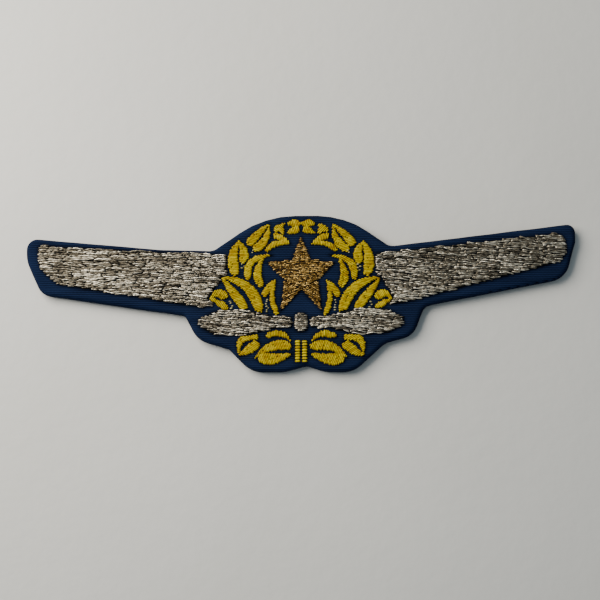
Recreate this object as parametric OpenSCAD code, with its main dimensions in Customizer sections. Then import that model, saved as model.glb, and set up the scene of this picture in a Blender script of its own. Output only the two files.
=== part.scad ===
// Cloth pilot wings badge, lying on its back.
// A ribbed face cloth is turned round a buckram core and a felt padding, its raw hem is covered by a
// lining, and the wings, propeller, star and laurel wreath stand on its face as raised thread.
// X runs along the wings, Y up the badge, Z out of its face. Left and right are the viewer's.
// The origin is the middle of the badge, on the back of its lining. Millimetres.

/* [Overall] */
// Length of the badge from wing tip to wing tip
wing_span = 90; // [78:1:112]
// Height of the medallion, which is the height of the whole badge
badge_height = 26; // [21:0.5:32]
// Width of the medallion between the lower corners of the wing roots
medallion_width = 39; // [32:0.5:47]

/* [Left wing] */
// How far the tip's upper edge lies below the top of the medallion
left_tip_drop = 3.8; // [2:0.1:6]
// Height of the tip, from its upper edge to its lower corner
left_tip_h = 9.6; // [7.5:0.1:11.5]
// Length of the upright part of the tip
left_tip_upright = 3.8; // [3:0.1:5]
// How far the lower corner of the tip lies inside the tip
left_tip_slant = 2.7; // [0:0.1:4]

/* [Right wing] */
// How far the tip's upper edge lies below the top of the medallion
right_tip_drop = 1.3; // [0.5:0.1:4]
// Height of the tip, from its upper edge to its lower corner
right_tip_h = 9.3; // [7.5:0.1:11.5]
// Length of the upright part of the tip
right_tip_upright = 3.1; // [2.5:0.1:5]
// How far the lower corner of the tip lies inside the tip
right_tip_slant = 1.8; // [0:0.1:4]

/* [Layers] */
// Thickness of the face cloth and its hem
cloth_t = 0.3; // [0.2:0.05:0.5]
// Thickness of the buckram core
core_t = 0.6; // [0.4:0.05:1.2]
// Thickness of the felt padding on the core
padding_t = 0.5; // [0.3:0.05:1]
// Thickness of the lining on the back
lining_t = 0.25; // [0.15:0.05:0.5]
// How far the turned hem reaches in under the core
hem_w = 2.5; // [1.5:0.1:3]
// How far the lining stays inside the badge's edge
lining_inset = 1; // [0.6:0.1:1.4]
// How far the cloth bulges past the core's edge as it turns
edge_bulge = 0.4; // [0.2:0.05:0.6]

/* [Thread] */
// Height of the silver thread of the wings and the propeller
silver_h = 0.5; // [0.3:0.05:0.8]
// Height of the yellow and bronze thread of the wreath and the star
wreath_h = 0.35; // [0.2:0.05:0.6]
// Bare cloth kept between neighbouring motifs
motif_gap = 0.15; // [0.1:0.05:0.3]
// Tilt of the propeller, up at the right
propeller_tilt = 0.7; // [-2:0.1:2]
// Half height of a blade at its root
blade_root = 0.9; // [0.6:0.05:1.2]
// Half height of a blade at its widest
blade_belly = 2; // [1.5:0.05:2.4]
// Length of the propeller from tip to tip
propeller_l = 33.2; // [28:0.2:36]
// Bare cloth kept beyond each tip of the propeller
tip_room = 1.5; // [1:0.1:3]
// Size of the propeller hub along and across the blades
hub_size = [2.2, 3]; // [1.5:0.1:4]

/* [Hidden] */
// The medallion and all that stands on it are drawn at this size and follow the sizes above.
DRAWN = [39, 26];
kx = medallion_width / DRAWN[0];
ky = badge_height / DRAWN[1];
kr = min(kx, ky);
half_span = wing_span / 2;
half_height = badge_height / 2;
ARC_STEP = 9;       // degrees of a round corner between two points
ROLL_STEPS = 4;     // slabs of the rounded edge, one inside the other
LOBE_STEPS = 12;    // lengths along one side of a leaf lobe, shorter towards its ends
LOBE_BELLY = 0.3;   // where a leaf lobe is widest, from its root to its tip
LOBE_BRIDGE = 0.8;  // gaps between leaves narrower than twice this are kept clear of the wings

hem_z = lining_t;
core_z = hem_z + cloth_t;
padding_z = core_z + core_t;
cloth_z = padding_z + padding_t;
face_z = cloth_z + cloth_t;
core_inset = cloth_t + edge_bulge / 2;

// How far the sides of the medallion move out to hold a longer propeller.
side_room = max(0, (propeller_l / 2 - 18.3) * kx + tip_room);

function unit(v) = v / norm(v);
function turned(v, a) = [v.x * cos(a) - v.y * sin(a), v.x * sin(a) + v.y * cos(a)];
function heading(v) = atan2(v.y, v.x);
function short_turn(a) = a > 180 ? a - 360 : a <= -180 ? a + 360 : a;
function drawn(p) = [p.x * kx, p.y * ky];
function drawn_corner(c) = [c.x * kx, c.y * ky, c.z * kr];
function mirrored(p) = [-p.x, p.y];

// The points of one corner [x, y, radius] between the corners before and after it.
function corner_arc(before, corner, after) =
    let (
        c = [corner.x, corner.y],
        u = [before.x, before.y] - c,
        v = [after.x, after.y] - c,
        half = acos(unit(u) * unit(v)) / 2,
        reach = min(corner.z / tan(half), norm(u) / 2, norm(v) / 2),
        r = reach * tan(half),
        centre = c + unit(unit(u) + unit(v)) * r / sin(half),
        first = c + unit(u) * reach - centre,
        last = c + unit(v) * reach - centre,
        turn = short_turn(heading(last) - heading(first)),
        steps = ceil(abs(turn) / ARC_STEP)
    )
    r < 0.01 ? [c] : [for (i = [0:steps]) centre + turned(first, turn * i / steps)];

function rounded(corners) = [
    for (i = [0:len(corners) - 1])
        each corner_arc(
            corners[(i + len(corners) - 1) % len(corners)],
            corners[i],
            corners[(i + 1) % len(corners)]
        )
];

// ---- The badge's outline, as corners [x, y, radius], clockwise from the left wing's tip ----

LEFT_TIP = [
    [-half_span, half_height - left_tip_drop, 1.8],
    [-half_span, half_height - left_tip_drop - left_tip_upright, 5],
    [-half_span + left_tip_slant, half_height - left_tip_drop - left_tip_h, 2.8]
];
RIGHT_TIP = [
    [half_span, half_height - right_tip_drop, 3.4],
    [half_span, half_height - right_tip_drop - right_tip_upright, 3],
    [half_span - right_tip_slant, half_height - right_tip_drop - right_tip_h, 3.8]
];
LEFT_WING_BEND = [-(half_span + 2 * 14.4 * kx) / 3.2, 7.3 * ky, 10];
CROWN = [for (c = [[-14.4, 7.1, 2.3], [-6.05, 13, 20.8], [7.2, 13, 20.8], [14.5, 7.9, 2]]) drawn_corner(c)];
RIGHT_SIDE = [for (c = [[20.1, -2.2, 1.6], [18.2, -7, 3.3]]) drawn_corner(c) + [side_room, 0, 0]];
FOOT = [
    for (c = [
        [13.6, -8.3, 2.5], [8.5, -13, 4.6], [3.9, -13, 5.8], [0.9, -12, 1.6],
        [-2.6, -13, 5.8], [-8.1, -13, 4.6], [-11.7, -9.3, 1]
    ]) drawn_corner(c)
];
LEFT_SIDE = [for (c = [[-16.8, -7.8, 4.1], [-18.9, -3.8, 0.8]]) drawn_corner(c) - [side_room, 0, 0]];
OUTLINE = rounded(
    concat(
        [LEFT_TIP[0], LEFT_WING_BEND], CROWN, RIGHT_TIP, RIGHT_SIDE, FOOT, LEFT_SIDE,
        [LEFT_TIP[2], LEFT_TIP[1]]
    )
);

module outline(inset = 0) {
    offset(delta = -inset) polygon(OUTLINE);
}

module layer(z, thickness, inset) {
    translate([0, 0, z]) linear_extrude(thickness) outline(inset);
}

// ---- The cloth, its filling and its back ----

// How far in the face cloth's edge stands at a share of the way from its middle to its face or back.
function edge_inset(share) = edge_bulge * (1 - sqrt(1 - share * share));

module face_cloth() {
    height = face_z - hem_z;
    color("#12305a")
        difference() {
            union() {
                for (i = [0:ROLL_STEPS - 1]) {
                    slab = height * (i + 0.5) / (ROLL_STEPS - 0.5);
                    layer(hem_z + (height - slab) / 2, slab, edge_inset(i / (ROLL_STEPS - 0.5)));
                }
            }
            layer(core_z, cloth_z - core_z, core_inset);
            translate([0, 0, hem_z - 1]) linear_extrude(cloth_t + 2) outline(hem_w);
        }
}

module buckram_core() {
    color("#cfc6ae") layer(core_z, core_t, core_inset);
}

module felt_padding() {
    color("#2a2f3a") layer(padding_z, padding_t, core_inset);
}

module fusible_web() {
    color("#e8e6df") layer(hem_z, cloth_t, hem_w);
}

module lining() {
    color("#d9d4c4") layer(0, lining_t, lining_inset);
}

// ---- The wreath: lobes of satin thread, drawn on the right-hand side ----

function along(a, m, b, t) = a * (2 * t * t - 3 * t + 1) + m * (4 * t - 4 * t * t) + b * (2 * t * t - t);
function slope(a, m, b, t) = a * (4 * t - 3) + m * (4 - 8 * t) + b * (4 * t - 1);

// One lobe [root, middle, tip, width]: a curved blade of thread with a blunt root and a sharp tip.
// Its width at t is a share of the widest, which lies at t = LOBE_BELLY.
function lobe_share(t) = pow(t / LOBE_BELLY, LOBE_BELLY) * pow((1 - t) / (1 - LOBE_BELLY), 1 - LOBE_BELLY);
function lobe_side(l, t, side) =
    let (d = unit(slope(l[0], l[1], l[2], t)))
    along(l[0], l[1], l[2], t) + [-d.y, d.x] * side * l[3] / 2 * lobe_share(t);

function lobe_t(i) = (1 - cos(180 * i / LOBE_STEPS)) / 2;
function lobe(l) = [
    for (i = [0:LOBE_STEPS]) lobe_side(l, lobe_t(i), 1),
    for (i = [LOBE_STEPS - 1:-1:1]) lobe_side(l, lobe_t(i), -1)
];

LEAVES = [
    ["crown_bud", [
        [[0.35, 11], [1.2, 11.5], [2.3, 11.3], 1.4],
        [[0.35, 10.8], [1.1, 10.4], [2.3, 9.9], 1.2]
    ]],
    ["small_bud", [
        [[4.3, 10.2], [3.6, 10.8], [2.65, 11.5], 1],
        [[3.3, 9.9], [3.1, 10.3], [3.1, 11], 0.9]
    ]],
    ["upper_outer_leaf", [
        [[8.6, 7.8], [7.3, 9.5], [5.1, 11.4], 1.4],
        [[7.9, 7.2], [6.1, 8.4], [5.2, 11.2], 1.4]
    ]],
    ["upper_inner_leaf", [
        [[4.6, 9.5], [3.3, 9.1], [1.7, 8], 1.1],
        [[5.7, 6.8], [4.2, 8.1], [1.7, 8.1], 0.95]
    ]],
    ["middle_outer_leaf", [
        [[10.6, 2.8], [11.1, 6], [10, 8.6], 1.65],
        [[9.8, 4.9], [9.3, 6.7], [10.3, 8.6], 1.45]
    ]],
    ["middle_inner_leaf", [
        [[8.6, 2.1], [8, 5.1], [4.6, 6.2], 1.2],
        [[6.2, 1.1], [7.1, 3.1], [6, 6.1], 1.4]
    ]],
    ["lower_big_leaf", [
        [[6.7, -3.4], [8.7, 0.8], [13.1, 2.5], 1.75],
        [[8.9, -2.8], [10.8, -0.3], [13, 2.6], 1.5]
    ]],
    ["lower_small_leaf", [
        [[12.3, -1.1], [13.4, -0.1], [15, -1.1], 1.4],
        [[11.9, -2.7], [13.2, -1.8], [15, -0.8], 1]
    ]],
    ["lower_inner_leaf", [
        [[6.1, -0.7], [5.2, 0.9], [4.1, 2.1], 1.15],
        [[3.8, -3.7], [4.7, -0.8], [4.1, 2], 0.9]
    ]],
    ["foot_outer_leaf", [
        [[6.9, -7.4], [9.6, -7.8], [9.9, -10.6], 1.2],
        [[6.9, -8.1], [8.3, -9.3], [10.1, -10.3], 1.6]
    ]],
    ["foot_big_leaf", [
        [[1.5, -9], [4.6, -8.8], [7.5, -10.8], 1.6],
        [[6.8, -10.5], [4.6, -10.9], [1.5, -10], 1.9]
    ]],
    ["foot_arch_leaf", [
        [[5.7, -7.2], [3.2, -6.8], [1.7, -8.1], 1]
    ]]
];

module leaf_shape(leaf) {
    for (l = leaf[1])
        polygon([for (p = lobe(l)) drawn(p)]);
}

// Draws its child on the right-hand side, or mirrored on the left.
module on_side(side) {
    if (side == "left")
        mirror([1, 0, 0]) children();
    else
        children();
}

module raised(height) {
    translate([0, 0, face_z]) linear_extrude(height) children();
}

module leaf(side, leaf) {
    color("#c7ab17")
        raised(wreath_h)
            on_side(side)
                difference() {
                    leaf_shape(leaf);
                    offset(delta = motif_gap) on_side(side) blade_shape(side);
                }
}

module wreath_tie() {
    bar = [0.85, 3.5];
    color("#c7ab17")
        raised(wreath_h)
            for (side = [-1, 1])
                translate(drawn([side * 0.56, -9.65])) square(bar * kr, center = true);
}

// ---- The star ----

STAR = [[0, 9.3], [1.5, 5.5], [5.6, 5], [2.75, 2.1], [3.4, -3.1], [0, 0.4]];

module star() {
    right = [for (p = STAR) drawn(p)];
    left = [for (i = [4:-1:1]) mirrored(right[i])];
    color("#9a6f35") raised(wreath_h) polygon(concat(right, left));
}

// ---- The propeller ----

HUB_CENTRE = drawn([0, -4.85]);

module propeller_place() {
    translate(HUB_CENTRE) rotate(propeller_tilt) children();
}

module hub_shape() {
    w = hub_size.x / 2 * kr;
    h = hub_size.y / 2 * kr;
    r = w * 0.7;
    polygon(rounded([[-w, -h, r], [-w, h, r], [w, h, r], [w, -h, r]]));
}

module blade_shape(side) {
    root = (hub_size.x / 2 + 0.4) * kr;
    tip = propeller_l / 2 * kx;
    upper = [
        [root, blade_root * kr, 0.2], [tip * 0.26, (blade_root + 0.05) * kr, 3],
        [tip * 0.5, blade_belly * kr, 4], [tip * 0.84, blade_belly * kr, 2], [tip, 0.6 * kr, 0.7]
    ];
    lower = [for (i = [len(upper) - 1:-1:0]) [upper[i].x, -upper[i].y, upper[i].z]];
    propeller_place() on_side(side) polygon(rounded(concat(upper, lower)));
}

module propeller_hub() {
    color("#8d8a83") raised(silver_h) propeller_place() hub_shape();
}

module propeller_blade(side) {
    color("#9c988e") raised(silver_h) blade_shape(side);
}

// ---- The wings: their tips follow the outline's tips, their roots follow the wreath ----

LEFT_WING = rounded([
    LEFT_TIP[0] + [1.8, -1.35, -1], [LEFT_WING_BEND.x - 1.5, LEFT_WING_BEND.y - 0.5, 8],
    [-12.2 * kx, 6.4 * ky, 0.3], [-12.2 * kx, 2.9 * ky, 0.3], [-14.3 * kx, 0.4 * ky, 0.5],
    [-14.2 * kx, -2.1 * ky, 0.5], [-16.3 * kx, -2.5 * ky, 1],
    LEFT_TIP[2] + [2.7, 1.7, 0], LEFT_TIP[1] + [2.4, -1.4, -3]
]);
RIGHT_WING = rounded([
    [12.2 * kx, 6.6 * ky, 0.3], [16.5 * kx, 7 * ky, 3],
    RIGHT_TIP[0] + [-1.8, -1.7, -1.8], RIGHT_TIP[1] + [-1.7, -2.1, -1.5],
    RIGHT_TIP[2] + [-1.1, 2.7, -2],
    [16.6 * kx, -1.7 * ky, 1], [14.3 * kx, -1.9 * ky, 0.4], [14.4 * kx, 0.4 * ky, 0.5],
    [12.2 * kx, 3.3 * ky, 0.3]
]);

module wing(side) {
    color("#aaa69b")
        raised(silver_h)
            difference() {
                polygon(side == "left" ? LEFT_WING : RIGHT_WING);
                offset(delta = motif_gap - LOBE_BRIDGE)
                    offset(r = LOBE_BRIDGE, $fn = 24)
                        on_side(side)
                            for (leaf = LEAVES) leaf_shape(leaf);
                offset(delta = motif_gap) blade_shape(side);
            }
}

// ---- Nodes ----

SIDES = ["left", "right"];
LAYER_NODES = ["face_cloth", "buckram_core", "felt_padding", "fusible_web", "lining"];
MOTIF_NODES = ["star", "propeller_hub", "wreath_tie"];

face_cloth();
buckram_core();
felt_padding();
fusible_web();
lining();
star();
propeller_hub();
wreath_tie();
for (side = SIDES) {
    wing(side);
    propeller_blade(side);
    for (leaf = LEAVES)
        leaf(side, leaf);
}
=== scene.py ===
"""Embroidered pilot wings badge: the looks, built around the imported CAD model.

Lengths in this file are millimetres until MM turns them into Blender's metres.
"""

import math
import random

import bmesh
import bpy
import numpy as np
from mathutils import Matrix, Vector, noise
from mathutils.geometry import delaunay_2d_cdt
from mathutils.kdtree import KDTree


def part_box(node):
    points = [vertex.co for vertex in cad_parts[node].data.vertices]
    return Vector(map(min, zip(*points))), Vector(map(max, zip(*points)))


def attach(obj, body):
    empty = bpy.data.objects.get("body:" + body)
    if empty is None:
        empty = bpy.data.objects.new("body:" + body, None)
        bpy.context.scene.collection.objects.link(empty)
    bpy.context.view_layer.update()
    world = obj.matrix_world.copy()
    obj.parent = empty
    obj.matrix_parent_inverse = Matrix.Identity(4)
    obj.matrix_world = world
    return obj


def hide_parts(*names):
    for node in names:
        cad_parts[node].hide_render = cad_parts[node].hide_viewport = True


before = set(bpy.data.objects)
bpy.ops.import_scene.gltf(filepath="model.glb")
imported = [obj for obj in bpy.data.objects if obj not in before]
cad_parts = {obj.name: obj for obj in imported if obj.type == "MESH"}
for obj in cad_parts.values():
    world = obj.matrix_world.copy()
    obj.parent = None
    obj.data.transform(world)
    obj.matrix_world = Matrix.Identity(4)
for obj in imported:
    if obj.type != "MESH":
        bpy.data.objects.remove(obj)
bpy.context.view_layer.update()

MM = 0.001
SIDES = ("left", "right")  # the viewer's, facing the badge
LEAVES = (
    "crown_bud",
    "small_bud",
    "upper_outer_leaf",
    "upper_inner_leaf",
    "middle_outer_leaf",
    "middle_inner_leaf",
    "lower_big_leaf",
    "lower_small_leaf",
    "lower_inner_leaf",
    "foot_outer_leaf",
    "foot_big_leaf",
    "foot_arch_leaf",
)


def height(node, top):
    """A CAD node's lowest or highest point, in millimetres."""
    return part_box(node)[1 if top else 0][2] / MM


LINING_TOP = height("lining", True)
HEM_Z = height("face_cloth", False)
CORE_Z = height("buckram_core", False)
CLOTH_Z = height("felt_padding", True)
FACE_Z = height("face_cloth", True)
SILVER_H = height("left_wing", True) - FACE_Z
WREATH_H = height("star", True) - FACE_Z
EDGE_Z = (HEM_Z + FACE_Z) / 2
MOTIF_Z = FACE_Z + 0.15  # where the motifs' outlines are read

# Every motif, in the order in which its thread is laid, and the look it has.
MOTIFS = {}
for side in SIDES:
    MOTIFS |= {f"{side}_{part}": "silver" for part in ("wing", "propeller_blade")}
    MOTIFS |= {f"{side}_{leaf}": "yellow" for leaf in LEAVES}
MOTIFS |= {"propeller_hub": "hub", "star": "bronze", "wreath_tie": "tie"}


# ---- Outlines read from the CAD nodes ----


def length_of(loop):
    return sum(math.dist(a, b) for a, b in zip(loop, loop[1:] + loop[:1], strict=True))


def section(node, z):
    """The closed loops in which a CAD node crosses the height z, longest first, as lists of (x, y)."""
    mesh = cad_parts[node].data
    mesh.calc_loop_triangles()
    co = [v.co / MM for v in mesh.vertices]
    links = {}
    for tri in mesh.loop_triangles:
        cut = []
        for i, j in ((0, 1), (1, 2), (2, 0)):
            p, q = co[tri.vertices[i]], co[tri.vertices[j]]
            if (p.z > z) != (q.z > z):
                t = (z - p.z) / (q.z - p.z)
                # Rounded, so that the cuts of two neighbouring triangles are the same point.
                cut.append((round(p.x + t * (q.x - p.x), 4), round(p.y + t * (q.y - p.y), 4)))
        if len(cut) == 2 and cut[0] != cut[1]:
            links.setdefault(cut[0], []).append(cut[1])
            links.setdefault(cut[1], []).append(cut[0])
    loops, seen = [], set()
    for start in sorted(links):
        if start in seen:
            continue
        loop, here = [], start
        while here is not None:
            seen.add(here)
            loop.append(here)
            here = next((p for p in links[here] if p not in seen), None)
        loops.append(loop)
    return sorted(loops, key=lambda l: -length_of(l))


def evenly(loop, step):
    """The loop again, anticlockwise, with points about a step apart."""
    twice_area = sum(a[0] * b[1] - a[1] * b[0] for a, b in zip(loop, loop[1:] + loop[:1], strict=True))
    if twice_area < 0:
        loop = loop[::-1]
    p = np.array(loop + loop[:1])
    along = np.concatenate([[0], np.cumsum(np.hypot(*np.diff(p, axis=0).T))])
    n = max(8, round(along[-1] / step))
    at = np.linspace(0, along[-1], n, endpoint=False)
    return np.stack([np.interp(at, along, p[:, 0]), np.interp(at, along, p[:, 1])], 1)


def spans(loops, y):
    """Where the row at height y lies inside the loops, as (x0, x1) pairs."""
    xs = []
    for loop in loops:
        for (ax, ay), (bx, by) in zip(loop, loop[1:] + loop[:1], strict=True):
            if (ay > y) != (by > y):
                xs.append(ax + (y - ay) / (by - ay) * (bx - ax))
    xs.sort()
    return list(zip(xs[::2], xs[1::2], strict=False))


def room(loops, y, half):
    """Where a strand that reaches half above and below y lies inside the loops, as (x0, x1) pairs."""
    below, above = spans(loops, y - half), spans(loops, y + half)
    pairs = [(max(a, c), min(b, d)) for a, b in below for c, d in above]
    return [(a, b) for a, b in pairs if b > a]


# ---- Mesh building ----


MID_SHADE = 0.5  # the shade of a point that has none of its own


class Build:
    """The points and faces of one piece. A face has its material's index, and a point a shade from 0 to 1."""

    def __init__(self):
        self.points, self.shades, self.faces, self.kinds = [], [], [], []

    def add(self, points, faces, shades=None, kind=0):
        base = len(self.points)
        self.points += [tuple(p) for p in points]
        self.shades += shades if shades else [MID_SHADE] * len(points)
        self.faces += [tuple(base + i for i in f) for f in faces]
        self.kinds += [kind] * len(faces)

    def piece(self, name, node, slot, materials):
        """The piece as one closed mesh that faces outwards, which stands for a CAD node."""
        mesh = bpy.data.meshes.new(name)
        mesh.from_pydata([(x * MM, y * MM, z * MM) for x, y, z in self.points], [], self.faces)
        mesh.validate()
        for m in materials:
            mesh.materials.append(m)
        mesh.polygons.foreach_set("material_index", self.kinds)
        mesh.polygons.foreach_set("use_smooth", [True] * len(mesh.polygons))
        shade = mesh.attributes.new("shade", "FLOAT", "POINT")
        shade.data.foreach_set("value", self.shades)
        mesh.update()
        o = bpy.data.objects.new(name, mesh)
        bpy.context.scene.collection.objects.link(o)
        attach(o, "root")
        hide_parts(node)
        weld(o)
        return o


WELD = 2e-7  # metres within which two points are one


def weld(o):
    """Joins the patches of a piece into one closed mesh and turns its faces outwards."""
    bm = bmesh.new()
    bm.from_mesh(o.data)
    bmesh.ops.remove_doubles(bm, verts=bm.verts, dist=WELD)
    bmesh.ops.recalc_face_normals(bm, faces=bm.faces)
    bm.to_mesh(o.data)
    bm.free()


def fill(loops, inner=()):
    """Points and triangles that fill the first loop around the others, with some inner points.

    The loops' points come first and in order, so that the neighbouring patches meet them.
    """
    points, edges = [], []
    for loop in loops:
        base, n = len(points), len(loop)
        points += [Vector((float(x), float(y))) for x, y in loop]
        edges += [(base + i, base + (i + 1) % n) for i in range(n)]
    rim = len(points)
    points += [Vector((float(x), float(y))) for x, y in inner]
    which = 2 if len(loops) > 1 else 1  # 1 keeps what is inside the loops, and 2 leaves the holes open
    out, _, faces, origins, _, _ = delaunay_2d_cdt(points, edges, [], which, 1e-6)
    at = {}
    for i, came_from in enumerate(origins):
        for k in came_from:
            at[k] = i
    if len(out) != len(points) or any(at.get(k) != k for k in range(rim)):
        order = [at[k] for k in range(len(points)) if k in at]
        back = {v: i for i, v in enumerate(order)}
        out = [out[v] for v in order]
        faces = [tuple(back[v] for v in f) for f in faces]
    return [(p[0], p[1]) for p in out], faces


def wave(x, y, size, across, seed):
    """Smooth noise of about -1 to 1 that changes over size millimetres along X and across along Y."""
    return noise.noise(Vector((x / size, y / across, seed)))


def inward(loop):
    """Unit normals that point into an anticlockwise loop."""
    along = np.roll(loop, -1, 0) - np.roll(loop, 1, 0)
    along /= np.hypot(along[:, 0], along[:, 1])[:, None]
    return np.stack([-along[:, 1], along[:, 0]], 1)


def distance_to(points):
    """A function that gives how far a place is from the nearest of the points."""
    tree = KDTree(len(points))
    for i, (x, y) in enumerate(points):
        tree.insert((x, y, 0), i)
    tree.balance()
    return lambda x, y: tree.find((x, y, 0))[2]


def grid(loop, dx, dy, keep):
    """Points of a grid inside the loop for which keep(x, y) holds. Every other row is shifted half a step."""
    lines = [tuple(p) for p in loop]
    out = []
    for j in range(math.ceil(loop[:, 1].min() / dy), math.floor(loop[:, 1].max() / dy) + 1):
        y = j * dy
        for x0, x1 in spans([lines], y + 1e-7):
            first = math.ceil(x0 / dx + j % 2 / 2)
            for i in range(first, math.floor(x1 / dx + j % 2 / 2) + 1):
                x = (i - j % 2 / 2) * dx
                if keep(x, y):
                    out.append((x, y))
    return out


# How far a plan is drawn out along Y while it is filled, so that its triangles follow the ribs.
ROW_STRETCH = 6.0


def sheet_half(build, loops, rings, points, z_at, shade_at=None):
    """One side of a cloth: fills the loops and lifts each point to z_at(x, y).

    The rings are distances in from the edge at which it has closer points.
    """
    near = [tuple(p) for d in rings for p in loops[0] + inward(loops[0]) * d]
    drawn_out = [[(x, y * ROW_STRETCH) for x, y in l] for l in loops]
    flat, faces = fill(drawn_out, [(x, y * ROW_STRETCH) for x, y in near + points])
    places = [(x, y / ROW_STRETCH) for x, y in flat]
    shades = [shade_at(x, y) for x, y in places] if shade_at else None
    build.add([(x, y, z_at(x, y)) for x, y in places], faces, shades)


def wall(build, loop, z0, z1, kind=0):
    n = len(loop)
    build.add(
        [(x, y, z) for z in (z0, z1) for x, y in loop],
        [(i, (i + 1) % n, n + (i + 1) % n, n + i) for i in range(n)],
        kind=kind,
    )


def flat_fill(build, loops, z, kind=0):
    points, faces = fill(loops)
    build.add([(x, y, z) for x, y in points], faces, kind=kind)


# ---- Materials ----


class Paint:
    """A procedural material. Inputs that are sockets are linked, and others are set on the socket itself."""

    def __init__(self, name, **inputs):
        self.material = bpy.data.materials.new(name)
        self.material.use_nodes = True
        self.tree = self.material.node_tree
        self.shader = self.tree.nodes["Principled BSDF"]
        self.put(self.shader, inputs)
        self.where = self.node("ShaderNodeTexCoord").outputs["Object"]
        self.x, self.y, self.z = self.node("ShaderNodeSeparateXYZ", Vector=self.where).outputs

    def put(self, node, inputs):
        """Sets or links a node's inputs, by number or by name with underscores for the spaces."""
        for key, value in inputs.items():
            socket = node.inputs[key if isinstance(key, int) else key.replace("_", " ")]
            if isinstance(value, bpy.types.NodeSocket):
                self.tree.links.new(value, socket)
            else:
                socket.default_value = value

    def node(self, kind, **inputs):
        n = self.tree.nodes.new(kind)
        self.put(n, inputs)
        return n

    def math(self, operation, a, b=0.0, c=0.0):
        n = self.tree.nodes.new("ShaderNodeMath")
        n.operation = operation
        self.put(n, {0: a, 1: b, 2: c})
        return n.outputs[0]

    def noise(self, size, detail=2.0, stretch=(1.0, 1.0, 1.0)):
        """Noise from 0 to 1 with features about size millimetres across."""
        place = self.node("ShaderNodeMapping", Vector=self.where, Scale=stretch).outputs[0]
        n = self.node("ShaderNodeTexNoise", Vector=place, Scale=1 / (size * MM), Detail=detail)
        return n.outputs["Fac"]

    def ramp(self, value, stops):
        n = self.node("ShaderNodeValToRGB", Fac=value)
        e = n.color_ramp.elements
        for i, (at, colour) in enumerate(stops):
            stop = e[i] if i < 2 else e.new(at)
            stop.position = at
            stop.color = (*colour, 1)
        return n.outputs["Color"]

    def bump(self, value, tall):
        n = self.node("ShaderNodeBump", Height=value, Distance=tall * MM, Strength=1.0)
        self.put(self.shader, {"Normal": n.outputs[0]})

    def colour(self, value):
        self.put(self.shader, {"Base Color": value})

    def shade(self):
        """The mesh's shade at each point: a thread's own tone, or painted shade on the ground cloth."""
        n = self.node("ShaderNodeAttribute")
        n.attribute_name = "shade"
        return n.outputs["Fac"]


RIB = 0.3  # pitch of the face cloth's ribs
WARP = 0.22  # pitch of the warp ends that cross them
ROLL_DROP = 0.2  # how far below the face the cloth is taken to roll over its edge


def woven(name, dark, light, roughness, rib=RIB, warp=WARP, relief=0.03, sheen=0.0):
    """A ribbed cloth: rib tops painted bright and grooves painted dark, as painted highlight and shade, warp
    ends that cross every other rib, and slubs.

    The ribs follow the cloth over its edges.
    """
    p = Paint(name, Roughness=roughness, Sheen_Weight=sheen, Sheen_Roughness=0.5, Specular_IOR_Level=0.02)
    drop = p.math("MAXIMUM", p.math("SUBTRACT", (FACE_Z - ROLL_DROP) * MM, p.z), 0.0)
    row = p.math("DIVIDE", p.math("ADD", p.math("ABSOLUTE", p.y), drop), rib * MM)
    ridge = p.math("ABSOLUTE", p.math("SINE", p.math("MULTIPLY", row, math.pi)))
    shift = p.math("MULTIPLY", p.math("FLOOR", row), math.pi)
    ends = p.math("SINE", p.math("ADD", p.math("MULTIPLY", p.x, 2 * math.pi / (warp * MM)), shift))
    slub = p.noise(1.2, 3, (0.15, 1.0, 1.0))
    fine = p.noise(0.15, 2)
    # The ridge paints rib tops lighter and grooves darker: painted highlight and shade over the ribs' real
    # relief.
    tone = p.math("MULTIPLY_ADD", ridge, 0.55, p.math("MULTIPLY", slub, 0.5))
    tone = p.math("ADD", tone, p.math("MULTIPLY", p.math("MULTIPLY", ends, ridge), 0.16))
    # The shade scales the tone; on the ground cloth beside the motifs it is painted shade.
    tone = p.math("MULTIPLY", tone, p.math("MULTIPLY_ADD", p.shade(), 1.4, 0.3))
    p.colour(p.ramp(tone, [(0.25, dark), (0.85, light)]))
    relief_value = p.math("ADD", p.math("MULTIPLY", p.math("MULTIPLY", ends, ridge), 0.5), fine)
    p.bump(relief_value, relief)
    return p.material


def thread(name, stops, roughness, metallic, relief, glint_fleck):
    """Thread whose tone differs from float to float and along each one, with painted glints and dark specks
    in fine flecks, and a fine crinkle.
    """
    p = Paint(name, Metallic=metallic, Roughness=roughness, Specular_IOR_Level=0.08)
    # The fine flecks paint small glints and dark specks into the colour, over the floats' own uneven tone.
    tone = p.math("MULTIPLY_ADD", p.noise(*glint_fleck), 0.9, p.math("MULTIPLY", p.shade(), 0.4))
    tone = p.math("MULTIPLY_ADD", p.noise(5, 2), 0.2, p.math("SUBTRACT", tone, 0.25))
    p.colour(p.ramp(tone, stops))
    p.bump(p.noise(0.1, 2, (0.5, 1.0, 1.0)), relief)
    return p.material


GROUND = woven("ground_cloth", (0.0003, 0.0007, 0.0025), (0.0064, 0.0142, 0.044), 0.7)
LINING = woven(
    "lining_cloth",
    (0.02, 0.024, 0.035),
    (0.07, 0.08, 0.1),
    0.85,
    rib=0.36,
    warp=0.36,
    relief=0.04,
    sheen=0.1,
)
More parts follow.
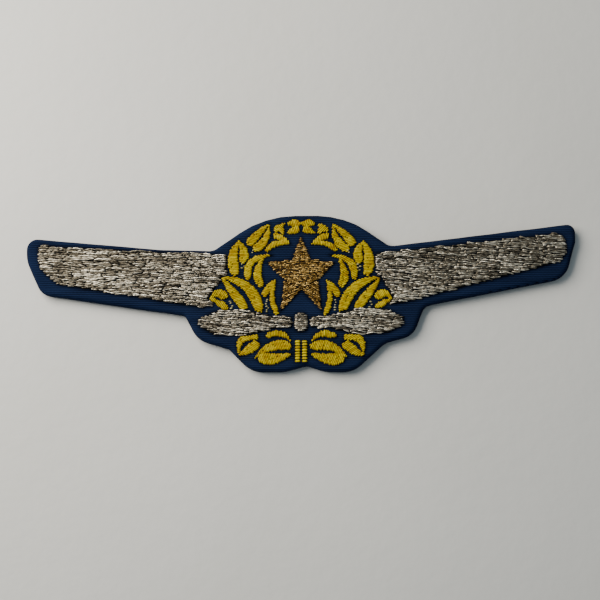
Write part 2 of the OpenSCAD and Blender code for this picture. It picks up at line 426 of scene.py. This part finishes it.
# The thread ramps' lightest and darkest stops colour the painted glints and dark specks.
SILVER = thread(
    "silver_thread",
    [(0.24, (0.022, 0.018, 0.012)), (0.48, (0.195, 0.168, 0.124)), (0.75, (0.82, 0.76, 0.625))],
    roughness=0.34,
    metallic=0.85,
    relief=0.06,
    glint_fleck=(0.2, 3, (0.3, 1.0, 1.0)),
)
BRONZE = thread(
    "bronze_thread",
    [(0.25, (0.02, 0.008, 0.002)), (0.48, (0.15, 0.084, 0.016)), (0.75, (0.62, 0.42, 0.14))],
    roughness=0.4,
    metallic=0.7,
    relief=0.05,
    glint_fleck=(0.2, 3, (0.35, 1.0, 1.0)),
)
YELLOW = thread(
    "yellow_thread",
    [
        (0.14, (0.07, 0.03, 0.0)),
        (0.3, (0.22, 0.13, 0.0)),
        (0.5, (0.3, 0.215, 0.0)),
        (0.8, (0.44, 0.36, 0.001)),
    ],
    roughness=0.6,
    metallic=0.0,
    relief=0.03,
    glint_fleck=(0.4, 3, (0.5, 1.0, 1.0)),
)
PALE = thread(
    "pale_thread",
    [(0.2, (0.1, 0.09, 0.03)), (0.5, (0.3, 0.28, 0.13)), (0.8, (0.6, 0.58, 0.38))],
    roughness=0.5,
    metallic=0.3,
    relief=0.03,
    glint_fleck=(0.2, 2, (1.0, 1.0, 1.0)),
)
# Dark copies of the ground cloth: painted shade in the gaps between a motif's threads.
SHADE_UNDER_SILVER = woven("painted_shade_under_silver", (0.0008, 0.0012, 0.002), (0.006, 0.007, 0.008), 0.7)
SHADE_UNDER_YELLOW = woven("painted_shade_under_yellow", (0.0008, 0.001, 0.0008), (0.006, 0.006, 0.002), 0.7)


def plain_fabric(name, dark, light, size):
    """A fabric without a pattern, with spots about size millimetres across."""
    p = Paint(name, Roughness=0.9)
    spots = p.noise(size, 4)
    p.colour(p.ramp(spots, [(0.3, dark), (0.7, light)]))
    p.bump(spots, 0.05)
    return p.material


# ---- The face cloth: ribs on top, a rolled edge, a turned hem with pleats, and its inside ----

ROLL = 0.7  # how far in the edge's curve reaches
RIB_H = 0.035  # how tall a rib is
EASE = 0.15  # how far in from the edge the ribs reach their height
SWELL = 0.05  # how far the face rises and falls slowly
SINK = 0.03  # how far the face lies under the CAD's, so that its swell stays in the box
NEAR_EDGE = (0.02, 0.06, 0.12, 0.19)  # rings of closer points on the curve
INSIDE = 0.25  # how far in the grid of points begins
PLEAT = 0.05  # how deep the folds between the hem's pleats are
PLEAT_TURN = 1.9  # radians from pleat to pleat for each millimetre along the badge
PLEAT_END = 2.2  # how far in the pleats die out
HEM_REACH = 2.3  # how far in the hem's own points reach
MOTIF_SHADE_REACH = 0.5  # how far from a motif the painted shade on the ground cloth reaches

raw_outline = evenly(section("face_cloth", EDGE_Z)[0], 0.1)
unevenness = np.array([[0.05 + 0.05 * wave(x, y, 4, 4, 3.1)] for x, y in raw_outline])
OUTLINE = raw_outline + inward(raw_outline) * unevenness
CAVITY = evenly(section("face_cloth", EDGE_Z)[1], 0.5)
WINDOW = evenly(min(section("face_cloth", HEM_Z + 0.02), key=length_of), 0.5)
depth = distance_to(OUTLINE)
window = distance_to(WINDOW)
beside = distance_to([p for node in MOTIFS for l in section(node, MOTIF_Z) for p in evenly(l, 0.12)])


def curve(d, reach):
    """A rounded edge's rise, from 0 at the edge to 1 at its reach."""
    u = min(d / reach, 1.0)
    return math.sqrt(max(0.0, 1 - (1 - u) ** 2))


def rib(y):
    return abs(math.sin(math.pi * y / RIB)) ** 0.7


def face_z(x, y):
    d = depth(x, y)
    if d < 1e-6:
        return EDGE_Z
    ease = min(d / EASE, 1.0)
    slow = SWELL * wave(x, y, 9, 7, 0.5) * min(d / 2, 1.0)
    return EDGE_Z + (FACE_Z - EDGE_Z - RIB_H) * curve(d, ROLL) + RIB_H * rib(y) * ease + slow - SINK


def hem_z(x, y):
    if window(x, y) < 1e-6:
        return HEM_Z
    d = depth(x, y)
    if d < 1e-6:
        return EDGE_Z
    pleat = max(0.0, math.sin(PLEAT_TURN * math.hypot(x, 3 * y) + 2 * wave(x, y, 6, 6, 8.2)))
    flat = HEM_Z + 0.01 + PLEAT * pleat * min(d / 0.3, 1.0) * max(0.0, 1 - d / PLEAT_END)
    return EDGE_Z + (flat - EDGE_Z) * curve(d, ROLL)


def painted_shade_beside_motifs(x, y):
    """The ground cloth's shade: painted shade, darker close beside a motif."""
    return 0.5 * (0.4 + 0.6 * min(1.0, beside(x, y) / MOTIF_SHADE_REACH))


def on_hem(x, y):
    return INSIDE < depth(x, y) < HEM_REACH and window(x, y) > 0.15


def make_face_cloth():
    b = Build()
    top = grid(OUTLINE, 0.4, RIB / 4, lambda x, y: depth(x, y) > INSIDE)
    # The top's shade is painted shade, darker close beside the motifs.
    sheet_half(b, [OUTLINE], NEAR_EDGE, top, face_z, painted_shade_beside_motifs)
    sheet_half(b, [OUTLINE, WINDOW], NEAR_EDGE, grid(OUTLINE, 0.4, 0.2, on_hem), hem_z)
    wall(b, WINDOW, HEM_Z, CORE_Z)
    flat_fill(b, [CAVITY, WINDOW], CORE_Z)
    wall(b, CAVITY, CORE_Z, CLOTH_Z)
    flat_fill(b, [CAVITY], CLOTH_Z)
    return b.piece("face_cloth_woven", "face_cloth", "ground_cloth", [GROUND])


# ---- The lining on the back ----

LINING_ROLL = 0.2  # how far in the lining's rounded edge reaches
LINING_LIFT = 0.02  # how far its back rises here and there
LINING_RINGS = (0.03, 0.09)


def make_lining():
    b = Build()
    half = LINING_TOP / 2
    loop = evenly(section("lining", half)[0], 0.2)
    deep = distance_to(loop)

    def z_at(x, y, side):
        d = deep(x, y)
        if d < 1e-6:
            return half
        ease = curve(d, LINING_ROLL)
        lift = LINING_LIFT * (1 + wave(x, y, 5, 4, 6.6)) * ease if side < 0 else 0.0
        return half + side * half * ease + lift

    points = grid(loop, 0.45, 0.3, lambda x, y: deep(x, y) > INSIDE)
    for side in (1, -1):
        sheet_half(b, [loop], LINING_RINGS, points, lambda x, y, side=side: z_at(x, y, side))
    return b.piece("lining_woven", "lining", "lining_cloth", [LINING])


# ---- The raised threads ----

RING = 5  # points round a strand
OVERLAP = 0.04  # how far a float runs past its own length, into its neighbours
THREAD_SINK = 0.04  # how far a thread's foot lies under the face
FIRST_CUT = (0.15, 1.2)  # a row's first float, as shares of the longest
NEXT_CUT = (0.5, 1.2)  # and its later ones
LAST_CUT = 0.3  # a shorter rest than this joins the float before it
UNDER_TOP, UNDER_FOOT = 0.1, 0.12  # how far a motif's dark sheet of painted shade reaches above and below the face
UNDER_INSET = 0.06  # and how far it keeps in from the motif's outline


def turned(loops, degrees):
    c, s = math.cos(math.radians(degrees)), math.sin(math.radians(degrees))
    return [[(x * c - y * s, x * s + y * c) for x, y in l] for l in loops]


def floats(b, loops, rng, look):
    """Rows of thread along X inside the loops, each row broken into floats that dip at their ends."""
    ys = [y for loop in loops for _, y in loop]
    low, high = min(ys) + look["margin"], max(ys) - look["margin"]
    rows = max(1, round((high - low) / look["pitch"]))
    for j in range(rows + 1):
        y = low + (high - low) * j / rows
        for x0, x1 in room(loops, y, look["half"]):
            x0 += rng.uniform(-1, 1) * look["ragged"] - look["reach"]
            x1 += rng.uniform(-1, 1) * look["ragged"] + look["reach"]
            if x1 - x0 < look["shortest"]:
                continue
            start, end = x0, x0 + look["longest"] * rng.uniform(*FIRST_CUT)
            while start < x1:
                if x1 - end < LAST_CUT * look["longest"]:
                    end = x1
                one_float(b, start - OVERLAP, end + OVERLAP, y, rng, look)
                start, end = end, end + look["longest"] * rng.uniform(*NEXT_CUT)


def tube(n):
    """The faces of a closed tube of n rings."""
    faces = [
        (i * RING + k, i * RING + (k + 1) % RING, (i + 1) * RING + (k + 1) % RING, (i + 1) * RING + k)
        for i in range(n - 1)
        for k in range(RING)
    ]
    faces.append(tuple(range(RING - 1, -1, -1)))
    faces.append(tuple((n - 1) * RING + k for k in range(RING)))
    return faces


def one_float(b, x0, x1, y, rng, look, kind=0):
    """One float of one or more strands that wind round each other."""
    # Its outline: the ends are lower and narrower than the middle.
    n = max(4, round((x1 - x0) / look["step"])) + 1
    s = np.linspace(0, 1, n)
    x = x0 + (x1 - x0) * s
    end = np.minimum(s, 1 - s) * (x1 - x0)
    rise = np.sqrt(np.clip(1 - (1 - np.clip(end / look["taper"], 0, 1)) ** 2, 0, 1))
    wide = (1 - look["narrow"] * (1 - rise)) * rng.uniform(0.9, 1.1)
    high = (0.15 + 0.85 * rise) * rng.uniform(look["lowest"], 1.0)
    # Its line: slow bends that it shares with its neighbours, and a small one of its own.
    sway = 0.10 * np.sin(x * 0.9 + y * 0.8 + 1) + 0.05 * np.sin(x * 2.3 - y * 1.9)
    sway += rng.uniform(-0.05, 0.05) + rng.uniform(-0.2, 0.2) * (s - 0.5)
    centre = y + sway * look["sway"]
    shade = rng.uniform(*look["shade"])
    start = rng.uniform(0, 2 * math.pi)
    twist = look["twist"] * rng.uniform(0.8, 1.3)
    angle = np.arange(RING) * 2 * math.pi / RING
    faces = tube(n)
    for strand in range(look["strands"]):
        turn = start + 2 * math.pi * (strand / look["strands"] + x / twist)
        size = 1 + rng.uniform(-0.15, 0.1) + np.array([rng.uniform(-0.1, 0.1) for _ in range(n)])
        cy = centre + look["orbit"][0] * wide * np.cos(turn)
        cz = look["tall"] / 2 + look["orbit"][1] * np.sin(turn)
        py = cy[:, None] + (look["radius"][0] * wide * size)[:, None] * np.cos(angle)[None, :]
        pz = cz[:, None] + (look["radius"][1] * size)[:, None] * np.sin(angle)[None, :]
        pz = FACE_Z - THREAD_SINK + high[:, None] * np.clip(pz, 0, look["tall"])
        px = np.repeat(x[:, None], RING, 1)
        points = np.stack([px, py, pz], 2).reshape(-1, 3)
        own = min(1, max(0, shade + rng.uniform(-1, 1) * look["uneven"]))
        b.add(points.tolist(), faces, [own] * len(points), kind)


def painted_shade_sheet(b, loops, kind):
    """A thin dark sheet under a motif: painted shade that fills the gaps between its threads."""
    for loop in loops:
        even = evenly(loop, 0.3)
        inset = even + inward(even) * UNDER_INSET
        flat_fill(b, [inset], FACE_Z + UNDER_TOP, kind)
        flat_fill(b, [inset], FACE_Z - UNDER_FOOT, kind)
        wall(b, inset, FACE_Z - UNDER_FOOT, FACE_Z + UNDER_TOP, kind)


# How a thread's rows are laid, in millimetres unless said:
#   pitch, margin     between rows, and from the outline to the first and last row
#   half              how far above and below its row a strand has to lie in the outline
#   tall              the thread's height over the face
#   longest, shortest of a float
#   strands           of a float, which wind round each other
#   orbit, radius     of a strand across and up: its distance from the float's middle, and its own size
#   twist, step       the length of one turn, and of one ring to the next
#   taper, narrow     how far in a float's ends dip, and what share of its width they lose
#   lowest            the lowest float's share of the height
#   ragged, reach     how far a row's ends stray, and how far on average they pass the outline
#   sway              how much a float bends, as a share of the usual
#   shade, uneven     a float's tone from and to, and how far its strands stray from it
SILVER_ROWS = {
    "pitch": 0.31,
    "margin": 0.14,
    "half": 0.08,
    "tall": SILVER_H,
    "longest": 4.6,
    "shortest": 0.3,
    "strands": 2,
    "orbit": (0.085, 0.1),
    "radius": (0.085, 0.11),
    "twist": 3.0,
    "step": 0.17,
    "taper": 0.3,
    "narrow": 0.4,
    "lowest": 0.7,
    "ragged": 0.2,
    "reach": 0.05,
    "sway": 1.0,
    "shade": (0.35, 0.65),
    "uneven": 0.4,
}
HUB_ROWS = SILVER_ROWS | {
    "pitch": 0.3,
    "orbit": (0.07, 0.05),
    "twist": 5.0,
    "lowest": 0.88,
    "ragged": 0.04,
    "reach": 0.0,
    "sway": 0.15,
    "uneven": 0.15,
}
BRONZE_ROWS = SILVER_ROWS | {
    "pitch": 0.28,
    "margin": 0.1,
    "half": 0.06,
    "tall": WREATH_H,
    "longest": 1.6,
    "orbit": (0.06, 0.06),
    "radius": (0.075, 0.1),
    "twist": 1.7,
    "step": 0.12,
    "taper": 0.22,
    "lowest": 0.65,
    "ragged": 0.12,
    "reach": 0.05,
    "sway": 0.7,
}
YELLOW_ROWS = SILVER_ROWS | {
    "pitch": 0.26,
    "margin": 0.09,
    "half": 0.05,
    "tall": WREATH_H,
    "longest": 2.2,
    "shortest": 0.12,
    "strands": 1,
    "orbit": (0.0, 0.0),
    "radius": (0.15, WREATH_H / 2),
    "step": 0.12,
    "taper": 0.3,
    "narrow": 0.45,
    "lowest": 0.75,
    "ragged": 0.09,
    "reach": 0.01,
    "sway": 0.15,
    "shade": (0.35, 0.65),
    "uneven": 0.15,
}
TIE_ROWS = YELLOW_ROWS | {
    "pitch": 0.42,
    "margin": 0.18,
    "radius": (0.21, WREATH_H / 2),
    "taper": 0.3,
    "narrow": 0.6,
    "ragged": 0.02,
    "reach": -0.03,
    # A lighter tone than the leaves': painted light, for the light the tie's beads catch.
    "shade": (0.65, 0.95),
}
KNOT_ROWS = YELLOW_ROWS | {"radius": (0.11, WREATH_H / 2), "taper": 0.14}

# Each look's slot, thread, dark sheet of painted shade and rows.
LOOK = {
    "silver": ("silver_thread", SILVER, SHADE_UNDER_SILVER, SILVER_ROWS),
    "hub": ("silver_thread", SILVER, SHADE_UNDER_SILVER, HUB_ROWS),
    "bronze": ("bronze_thread", BRONZE, SHADE_UNDER_SILVER, BRONZE_ROWS),
    "yellow": ("yellow_thread", YELLOW, SHADE_UNDER_YELLOW, YELLOW_ROWS),
    "tie": ("yellow_thread", YELLOW, SHADE_UNDER_YELLOW, TIE_ROWS),
}
THREAD_KIND, SHADE_SHEET_KIND, PALE_KIND = range(3)  # a motif's materials, in order

# Short stitches that show between the leaves, as (x, upper y, lower y) on the right-hand side.
KNOTS = {
    "lower_inner_leaf": (5.55, -1.2, -3.2),
    "lower_small_leaf": (11.35, -1.5, -2.8),
    "middle_outer_leaf": (9.45, 4.7, 3.7),
    "upper_outer_leaf": (7.8, 7, 6.5),
}

# How far the stitches of a leaf turn from the badge's length, in degrees, on the right-hand side.
STITCH_SLANT = {
    "crown_bud": 75,
    "small_bud": 45,
    "upper_outer_leaf": 15,
    "upper_inner_leaf": 80,
    "middle_inner_leaf": 25,
    "lower_big_leaf": -15,
    "lower_small_leaf": -60,
    "lower_inner_leaf": 10,
    "foot_outer_leaf": 30,
    "foot_big_leaf": 70,
    "foot_arch_leaf": 85,
}

LEG_SLANT = 25  # degrees the star's lower legs' stitches fall outwards
CORNER = 0.05  # sine of the least bend that is a corner of the star
NOTCH_Y = 2  # the star's lower notch is the inner corner below this


def knots(b, x, top, bottom, rng):
    """A loose line of short pale stitches."""
    y = top
    while y > bottom:
        at = x + rng.uniform(-0.25, 0.25)
        half = rng.uniform(0.1, 0.24)
        one_float(b, at - half, at + half, y, rng, KNOT_ROWS, PALE_KIND)
        y -= rng.uniform(0.2, 0.45)


def stitched(b, loops, degrees, rng, rows):
    """Floats that run at an angle to the badge's length."""
    rowed = Build()
    floats(rowed, turned(loops, -degrees), rng, rows)
    flat = turned([[(x, y) for x, y, _ in rowed.points]], degrees)[0]
    points = [(x, y, p[2]) for (x, y), p in zip(flat, rowed.points, strict=True)]
    b.add(points, rowed.faces, rowed.shades, THREAD_KIND)


def star_regions(loop):
    """The star's loop as three regions with their own slant: its two lower legs and the rest."""
    p = np.array(loop)
    before, after = p - np.roll(p, 1, 0), np.roll(p, -1, 0) - p
    bend = np.abs(before[:, 0] * after[:, 1] - before[:, 1] * after[:, 0])
    sharp = bend > CORNER * np.hypot(*before.T) * np.hypot(*after.T)
    corners = [tuple(q) for q in p[sharp]]
    notch = min(corners, key=lambda q: abs(q[0]) + max(0.0, q[1] - NOTCH_Y))
    legs = []
    for side in (1, -1):
        half = [q for q in corners if q[0] * side > 0.1]
        foot = min(half, key=lambda q: q[1])
        hip = min((q for q in half if q != foot), key=lambda q: q[1])
        legs.append(([notch, hip, foot], -side * LEG_SLANT))
    feet = [leg[-1] for leg, _ in legs]
    return legs + [([q for q in corners if q not in feet], 0)]


def make_motif(node, kind, seed):
    rng = random.Random(seed)
    # ground here is the dark sheet of painted shade under the threads.
    slot, thread_material, ground, rows = LOOK[kind]
    loops = section(node, MOTIF_Z)
    b = Build()
    # A dark sheet of painted shade under the threads.
    painted_shade_sheet(b, loops, SHADE_SHEET_KIND)
    side, _, leaf = node.partition("_")
    hand = -1 if side == "left" else 1
    if node == "star":
        for region, degrees in star_regions(loops[0]):
            stitched(b, [region], degrees, rng, rows)
    else:
        stitched(b, loops, hand * STITCH_SLANT.get(leaf, 0), rng, rows)
    materials = [thread_material, ground]
    if leaf in KNOTS:
        x, top, bottom = KNOTS[leaf]
        knots(b, hand * x, top, bottom, rng)
        materials.append(PALE)
    b.piece(f"{node}_threads", node, slot, materials)


# ---- Everything together ----

FIRST_SEED = 9000

cloth = make_face_cloth()
lining = make_lining()
for number, (node, kind) in enumerate(MOTIFS.items()):
    make_motif(node, kind, FIRST_SEED + number)

INNER = {
    "buckram_core": plain_fabric("buckram", (0.5, 0.44, 0.33), (0.66, 0.6, 0.48), 0.5),
    "felt_padding": plain_fabric("felt", (0.03, 0.035, 0.05), (0.07, 0.08, 0.1), 0.3),
    "fusible_web": plain_fabric("fusible_web", (0.7, 0.69, 0.64), (0.85, 0.84, 0.8), 0.4),
}
for name, material in INNER.items():
    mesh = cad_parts[name].data
    mesh.materials.clear()
    mesh.materials.append(material)

# ---- Stage: a plain pale floor, a soft key light from the upper left, and a cool pale sky ----

FLOOR_HALF = 3.0  # metres
FLOOR_DROP = 0.00002  # metres the floor lies below the badge
KEY_PLACE = (-0.13, 0.08, 0.15)
KEY_SIZE = (0.2, 0.16)
KEY_POWER = 1.22
KEY_COLOUR = (1.0, 0.935, 0.84)
SKY_COLOUR = (0.75, 0.9, 1.0, 1)
SKY_STRENGTH = 0.4


def place(name, data, location, back=None):
    """Puts an object in the scene. If it is a light or camera, back is the way its back points."""
    o = bpy.data.objects.new(name, data)
    o.location = location
    if back is not None:
        o.rotation_mode = "QUATERNION"
        o.rotation_quaternion = (-back).to_track_quat("-Z", "Y")
    bpy.context.scene.collection.objects.link(o)
    return o


def make_floor():
    p = Paint("table", Roughness=0.55)
    p.colour(p.ramp(p.noise(60, 2), [(0.3, (0.45, 0.45, 0.43)), (0.7, (0.49, 0.49, 0.47))]))
    p.bump(p.noise(2.5, 2), 0.06)
    mesh = bpy.data.meshes.new("floor")
    far = FLOOR_HALF
    mesh.from_pydata([(-far, -far, 0), (far, -far, 0), (far, far, 0), (-far, far, 0)], [], [(0, 1, 2, 3)])
    mesh.materials.append(p.material)
    o = place("floor", mesh, (0, 0, -FLOOR_DROP))


make_floor()

key = bpy.data.lights.new("key", "AREA")
key.shape = "RECTANGLE"
key.size, key.size_y = KEY_SIZE
key.energy = KEY_POWER
key.color = KEY_COLOUR
place("key", key, KEY_PLACE, Vector(KEY_PLACE))

world = bpy.data.worlds.new("studio")
bpy.context.scene.world = world
world.use_nodes = True
sky = world.node_tree.nodes["Background"].inputs
sky["Color"].default_value = SKY_COLOUR
sky["Strength"].default_value = SKY_STRENGTH

# ---- Camera: almost straight down, from the badge's foot ----

SENSOR, LENS = 36.0, 100.0
ELEVATION = math.radians(80)
IN_VIEW = 97.5  # millimetres across the picture, at the badge
AIM = Vector((-0.2, -1.22, FACE_Z)) * MM

camera = bpy.data.cameras.new("camera")
camera.lens, camera.sensor_width = LENS, SENSOR
camera.clip_start = 0.01
back = Vector((0, -math.cos(ELEVATION), math.sin(ELEVATION)))
bpy.context.scene.camera = place("camera", camera, AIM + back * (IN_VIEW * MM * LENS / SENSOR), back)
